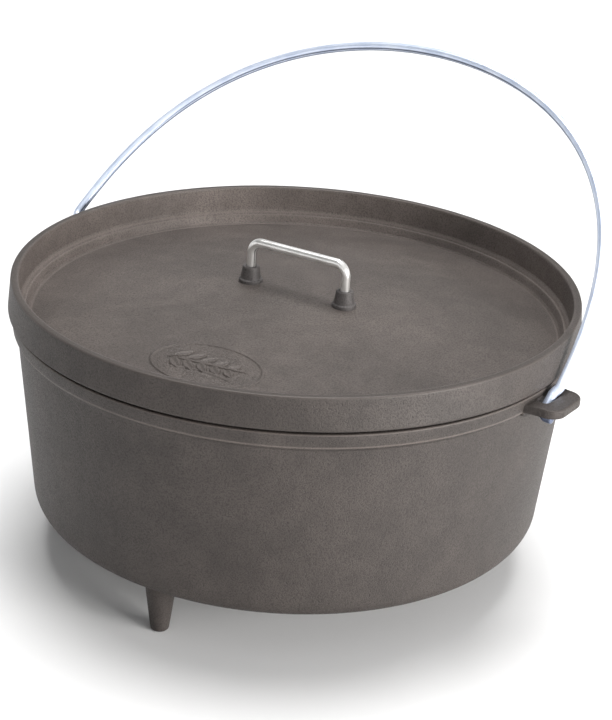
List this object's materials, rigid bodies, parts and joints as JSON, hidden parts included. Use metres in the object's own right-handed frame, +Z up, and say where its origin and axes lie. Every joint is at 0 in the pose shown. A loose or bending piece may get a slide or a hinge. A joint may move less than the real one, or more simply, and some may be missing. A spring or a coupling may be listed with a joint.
{
  "type": "dutch oven",
  "caption": "Round cast iron pot on short legs with a flanged lid that holds coals, a wire handle on the lid and a swinging wire bail hooked through slotted ears.",
  "frame": {"origin": "on the ground plane under the feet, on the pot's axis, which is also the middle of the bounding box seen from above", "axes": "+Z up along the pot's axis, +X through the ears and along the bail's hinge line, -Y towards the single front leg and the badge on the lid"},
  "size_m": [0.3789, 0.3394, 0.2812],
  "materials": {
    "pot_iron": "sand cast, seasoned, satin warm grey",
    "lid_iron": "sand cast, seasoned, satin warm grey",
    "handle_steel": "bright drawn steel wire",
    "bail_steel": "bright zinc-plated steel wire"
  },
  "bodies": {
    "pot": {"pot": "pot_iron"},
    "lid": {"lid": "lid_iron", "lid_handle": "handle_steel"},
    "bail": {"bail": "bail_steel"}
  },
  "joints": [
    {"name": "bail_swing", "type": "hinge", "parent": "pot", "child": "bail", "pos_m": [0, 0, 0.14705], "axis": [1, 0, 0], "range_deg": [0, 101]},
    {"name": "lid_lift", "type": "slide", "parent": "pot", "child": "lid", "axis": [0, 0, 1], "range_m": [0, 0.036]}
  ]
}
